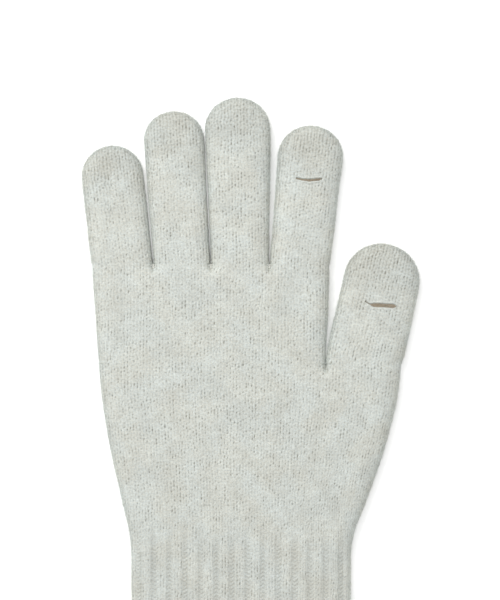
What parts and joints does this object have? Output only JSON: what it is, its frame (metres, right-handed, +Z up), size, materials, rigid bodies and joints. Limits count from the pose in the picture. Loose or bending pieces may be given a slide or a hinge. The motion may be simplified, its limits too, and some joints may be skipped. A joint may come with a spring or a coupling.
{
  "type": "knitted touchscreen glove",
  "caption": "Knitted stretch glove with a ribbed cuff, lying palm up, with slits at the index finger and thumb that let the fingertips out.",
  "frame": {"origin": "on the plane the glove lies on, at the back of the hand, under the centre line of the middle finger and halfway between the wrist line and the finger crotches", "axes": "+X towards the thumb side, +Y towards the fingertips, +Z up out of the palm"},
  "size_m": [0.1376, 0.2478, 0.009],
  "materials": {
    "knit": "soft matt plain knit, ivory melange",
    "touch_knit": "soft matt plain knit, ivory melange",
    "rib": "soft matt rib knit, ivory melange",
    "edge": "soft matt overlocked yarn",
    "bound_edge": "smooth matt bound yarn",
    "stitch": "matt yarn",
    "elastic": "matt covered elastic thread"
  },
  "bodies": {
    "hand": {"four_finger_body": "knit", "five_finger_body": "knit", "little_root": "knit", "ring_root": "knit", "middle_root": "knit", "index_root": "knit", "thumb_root": "knit", "crotch_web_little_ring": "stitch", "crotch_web_ring_middle": "stitch", "crotch_web_middle_index": "stitch", "crotch_web_thumb": "stitch"},
    "cuff": {"rib_cuff": "rib", "cuff_edge": "edge", "cuff_elastic": "elastic"},
    "little_base": {"little_base": "knit"},
    "little_middle": {"little_middle": "knit"},
    "little_tip": {"little_tip": "knit"},
    "ring_base": {"ring_base": "knit"},
    "ring_middle": {"ring_middle": "knit"},
    "ring_tip": {"ring_tip": "knit"},
    "middle_base": {"middle_base": "knit"},
    "middle_middle": {"middle_middle": "knit"},
    "middle_tip": {"middle_tip": "knit"},
    "index_base": {"index_base": "knit"},
    "index_middle": {"index_middle": "knit"},
    "index_tip": {"index_tip": "touch_knit"},
    "thumb_base": {"thumb_base": "knit"},
    "thumb_tip": {"thumb_tip": "touch_knit"},
    "index_slit_tip_lip": {"index_slit_tip_lip": "bound_edge"},
    "index_slit_hand_lip": {"index_slit_hand_lip": "bound_edge"},
    "thumb_slit_tip_lip": {"thumb_slit_tip_lip": "bound_edge"},
    "thumb_slit_hand_lip": {"thumb_slit_hand_lip": "bound_edge"}
  },
  "joints": [
    {"name": "wrist_fold", "type": "hinge", "parent": "hand", "child": "cuff", "pos_m": [0.0005, -0.056, 0.009], "axis": [-1, 0, 0], "range_deg": [0, 80]},
    {"name": "little_root_fold", "type": "hinge", "parent": "hand", "child": "little_base", "pos_m": [-0.04886, 0.062, 0.009], "axis": [1, 0, 0], "range_deg": [0, 80]},
    {"name": "little_middle_fold", "type": "hinge", "parent": "little_base", "child": "little_middle", "pos_m": [-0.05013, 0.0735, 0.009], "axis": [1, 0, 0], "range_deg": [0, 90]},
    {"name": "little_tip_fold", "type": "hinge", "parent": "little_middle", "child": "little_tip", "pos_m": [-0.05146, 0.0855, 0.009], "axis": [1, 0, 0], "range_deg": [0, 54]},
    {"name": "ring_root_fold", "type": "hinge", "parent": "hand", "child": "ring_base", "pos_m": [-0.02415, 0.062, 0.009], "axis": [1, 0, 0], "range_deg": [0, 90]},
    {"name": "ring_middle_fold", "type": "hinge", "parent": "ring_base", "child": "ring_middle", "pos_m": [-0.02528, 0.079, 0.009], "axis": [1, 0, 0], "range_deg": [0, 90]},
    {"name": "ring_tip_fold", "type": "hinge", "parent": "ring_middle", "child": "ring_tip", "pos_m": [-0.02641, 0.096, 0.009], "axis": [1, 0, 0], "range_deg": [0, 54]},
    {"name": "middle_root_fold", "type": "hinge", "parent": "hand", "child": "middle_base", "pos_m": [-0.00011, 0.062, 0.009], "axis": [1, 0, 0], "range_deg": [0, 90]},
    {"name": "middle_middle_fold", "type": "hinge", "parent": "middle_base", "child": "middle_middle", "pos_m": [-0.00044, 0.081, 0.009], "axis": [1, 0, 0], "range_deg": [0, 90]},
    {"name": "middle_tip_fold", "type": "hinge", "parent": "middle_middle", "child": "middle_tip", "pos_m": [-0.00077, 0.1, 0.009], "axis": [1, 0, 0], "range_deg": [0, 54]},
    {"name": "index_root_fold", "type": "hinge", "parent": "hand", "child": "index_base", "pos_m": [0.02503, 0.062, 0.009], "axis": [1, 0, 0], "range_deg": [0, 70]},
    {"name": "index_middle_fold", "type": "hinge", "parent": "index_base", "child": "index_middle", "pos_m": [0.02608, 0.072, 0.009], "axis": [1, 0, 0], "range_deg": [0, 70]},
    {"name": "index_tip_fold", "type": "hinge", "parent": "index_middle", "child": "index_tip", "pos_m": [0.02719, 0.0825, 0.009], "axis": [1, 0, 0], "range_deg": [0, 35]},
    {"name": "thumb_root_fold", "type": "hinge", "parent": "hand", "child": "thumb_base", "pos_m": [0.05149, 0.01908, 0.009], "axis": [0.9763, -0.2164, 0], "range_deg": [0, 75]},
    {"name": "thumb_tip_fold", "type": "hinge", "parent": "thumb_base", "child": "thumb_tip", "pos_m": [0.05409, 0.03079, 0.009], "axis": [0.9763, -0.2164, 0], "range_deg": [0, 80]},
    {"name": "index_tip_lip_fold", "type": "hinge", "parent": "index_tip", "child": "index_slit_tip_lip", "pos_m": [0.02833, 0.09338, 0.009], "axis": [-0.9945, 0.1045, 0], "range_deg": [0, 70]},
    {"name": "index_hand_lip_fold", "type": "hinge", "parent": "index_tip", "child": "index_slit_hand_lip", "pos_m": [0.02768, 0.08722, 0.009], "axis": [0.9945, -0.1045, 0], "range_deg": [0, 70]},
    {"name": "thumb_tip_lip_fold", "type": "hinge", "parent": "thumb_tip", "child": "thumb_slit_tip_lip", "pos_m": [0.05779, 0.04196, 0.009], "axis": [-0.9763, 0.2164, 0], "range_deg": [0, 70]},
    {"name": "thumb_hand_lip_fold", "type": "hinge", "parent": "thumb_tip", "child": "thumb_slit_hand_lip", "pos_m": [0.05645, 0.0359, 0.009], "axis": [0.9763, -0.2164, 0], "range_deg": [0, 70]}
  ],
  "couplings": [
    {"joint": "little_tip_fold", "follows": "little_middle_fold", "ratio": 0.6},
    {"joint": "ring_tip_fold", "follows": "ring_middle_fold", "ratio": 0.6},
    {"joint": "middle_tip_fold", "follows": "middle_middle_fold", "ratio": 0.6},
    {"joint": "index_tip_fold", "follows": "index_middle_fold", "ratio": 0.5},
    {"joint": "index_hand_lip_fold", "follows": "index_tip_lip_fold", "ratio": 1},
    {"joint": "thumb_hand_lip_fold", "follows": "thumb_tip_lip_fold", "ratio": 1}
  ]
}
